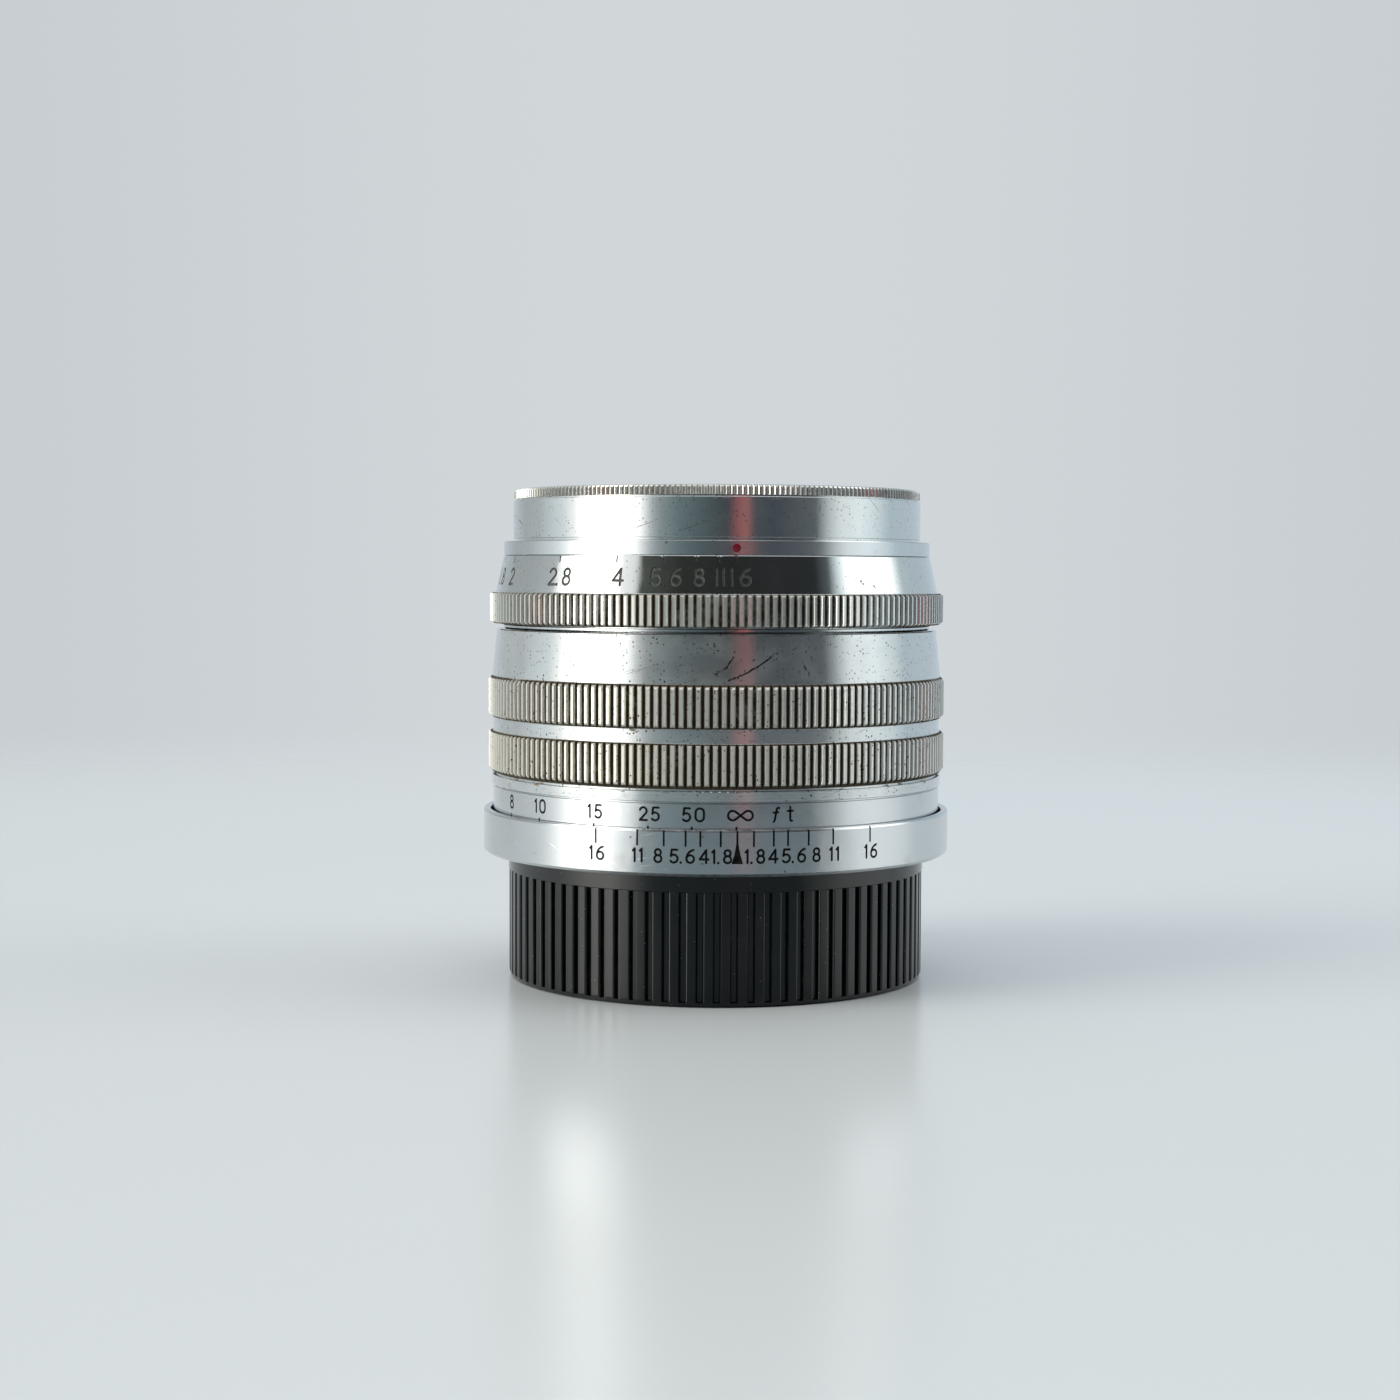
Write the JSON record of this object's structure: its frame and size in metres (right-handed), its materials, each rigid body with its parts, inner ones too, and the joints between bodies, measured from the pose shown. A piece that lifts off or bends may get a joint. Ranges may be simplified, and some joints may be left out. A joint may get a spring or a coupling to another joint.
{
  "type": "camera lens",
  "caption": "Chrome screw-mount camera lens with knurled focusing and aperture rings, iris, helicoid and a ribbed rear cap.",
  "frame": {"origin": "centre of the rear cap's bottom face, on the optical axis", "axes": "+Z along the optical axis towards the front of the lens, index mark on the -Y side"},
  "size_m": [0.048, 0.048, 0.0499],
  "materials": {
    "satin_chrome": "satin chrome plate with black-filled engraving",
    "bright_chrome": "polished chrome plate, dirt in the knurling",
    "cap_plastic": "semi-gloss moulded plastic with dust",
    "black_metal": "matt black anodised",
    "mount_chrome": "dull chrome on brass",
    "brass": "machined, greased",
    "steel": "turned screw steel",
    "blade_steel": "blued spring steel",
    "coated_glass": "polished, purple single coating",
    "red_enamel": "gloss red enamel"
  },
  "bodies": {
    "mount": {"base_ring": "satin_chrome", "mount_flange": "mount_chrome", "flange_screws": "steel", "guide_keys": "brass", "guide_key_screws": "steel", "focus_stop_pins": "steel"},
    "head": {"carriage_tube": "mount_chrome", "lens_barrel": "bright_chrome", "barrel_screws": "steel", "iris_housing": "black_metal", "iris_snap_ring": "steel", "index_ring": "satin_chrome", "index_dot": "red_enamel", "front_barrel": "bright_chrome", "front_cell": "black_metal", "front_element": "coated_glass", "front_doublet_crown": "coated_glass", "front_doublet_flint": "coated_glass", "front_spacer": "black_metal", "front_retainer": "black_metal", "name_ring": "black_metal", "rear_cell": "black_metal", "rear_doublet_flint": "coated_glass", "rear_doublet_crown": "coated_glass", "rear_spacer": "black_metal", "rear_element": "coated_glass", "rear_retainer": "black_metal", "rear_baffle": "black_metal"},
    "focus": {"focus_ring": "bright_chrome", "distance_scale_ring": "satin_chrome", "focus_nut": "brass", "focus_lock_ring": "brass", "lock_ring_screws": "steel"},
    "aperture": {"aperture_ring": "bright_chrome", "aperture_drive_screw": "steel", "iris_cam_ring": "brass"},
    "cap": {"rear_cap": "cap_plastic"},
    "blade_1": {"iris_blade_1": "blade_steel"},
    "blade_2": {"iris_blade_2": "blade_steel"},
    "blade_3": {"iris_blade_3": "blade_steel"},
    "blade_4": {"iris_blade_4": "blade_steel"},
    "blade_5": {"iris_blade_5": "blade_steel"},
    "blade_6": {"iris_blade_6": "blade_steel"},
    "blade_7": {"iris_blade_7": "blade_steel"},
    "blade_8": {"iris_blade_8": "blade_steel"},
    "blade_9": {"iris_blade_9": "blade_steel"},
    "blade_10": {"iris_blade_10": "blade_steel"}
  },
  "joints": [
    {"name": "head_slide", "type": "slide", "parent": "mount", "child": "head", "axis": [0, 0, 1], "range_m": [0, 0.00262]},
    {"name": "focus_turn", "type": "hinge", "parent": "head", "child": "focus", "pos_m": [0, 0, 0.026], "axis": [0, 0, 1], "range_deg": [0, 157.4]},
    {"name": "aperture_turn", "type": "hinge", "parent": "head", "child": "aperture", "pos_m": [0, 0, 0.038], "axis": [0, 0, 1], "range_deg": [0, 80.25]},
    {"name": "cap_pull", "type": "slide", "parent": "mount", "child": "cap", "axis": [0, 0, -1], "range_m": [0, 0.02]},
    {"name": "blade_1_swing", "type": "hinge", "parent": "head", "child": "blade_1", "pos_m": [0.00501, -0.01541, 0.0325], "axis": [0, 0, 1], "range_deg": [-32.7, 0]},
    {"name": "blade_2_swing", "type": "hinge", "parent": "head", "child": "blade_2", "pos_m": [0.01311, -0.00952, 0.0325], "axis": [0, 0, 1], "range_deg": [-32.7, 0]},
    {"name": "blade_3_swing", "type": "hinge", "parent": "head", "child": "blade_3", "pos_m": [0.0162, 0, 0.0325], "axis": [0, 0, 1], "range_deg": [-32.7, 0]},
    {"name": "blade_4_swing", "type": "hinge", "parent": "head", "child": "blade_4", "pos_m": [0.01311, 0.00952, 0.0325], "axis": [0, 0, 1], "range_deg": [-32.7, 0]},
    {"name": "blade_5_swing", "type": "hinge", "parent": "head", "child": "blade_5", "pos_m": [0.00501, 0.01541, 0.0325], "axis": [0, 0, 1], "range_deg": [-32.7, 0]},
    {"name": "blade_6_swing", "type": "hinge", "parent": "head", "child": "blade_6", "pos_m": [-0.00501, 0.01541, 0.0325], "axis": [0, 0, 1], "range_deg": [-32.7, 0]},
    {"name": "blade_7_swing", "type": "hinge", "parent": "head", "child": "blade_7", "pos_m": [-0.01311, 0.00952, 0.0325], "axis": [0, 0, 1], "range_deg": [-32.7, 0]},
    {"name": "blade_8_swing", "type": "hinge", "parent": "head", "child": "blade_8", "pos_m": [-0.0162, 0, 0.0325], "axis": [0, 0, 1], "range_deg": [-32.7, 0]},
    {"name": "blade_9_swing", "type": "hinge", "parent": "head", "child": "blade_9", "pos_m": [-0.01311, -0.00952, 0.0325], "axis": [0, 0, 1], "range_deg": [-32.7, 0]},
    {"name": "blade_10_swing", "type": "hinge", "parent": "head", "child": "blade_10", "pos_m": [-0.00501, -0.01541, 0.0325], "axis": [0, 0, 1], "range_deg": [-32.7, 0]}
  ],
  "couplings": [
    {"joint": "focus_turn", "follows": "head_slide", "rad_per_m": 1047.2},
    {"joint": "blade_1_swing", "follows": "aperture_turn", "ratio": -0.40623},
    {"joint": "blade_2_swing", "follows": "aperture_turn", "ratio": -0.40623},
    {"joint": "blade_3_swing", "follows": "aperture_turn", "ratio": -0.40623},
    {"joint": "blade_4_swing", "follows": "aperture_turn", "ratio": -0.40623},
    {"joint": "blade_5_swing", "follows": "aperture_turn", "ratio": -0.40623},
    {"joint": "blade_6_swing", "follows": "aperture_turn", "ratio": -0.40623},
    {"joint": "blade_7_swing", "follows": "aperture_turn", "ratio": -0.40623},
    {"joint": "blade_8_swing", "follows": "aperture_turn", "ratio": -0.40623},
    {"joint": "blade_9_swing", "follows": "aperture_turn", "ratio": -0.40623},
    {"joint": "blade_10_swing", "follows": "aperture_turn", "ratio": -0.40623}
  ]
}
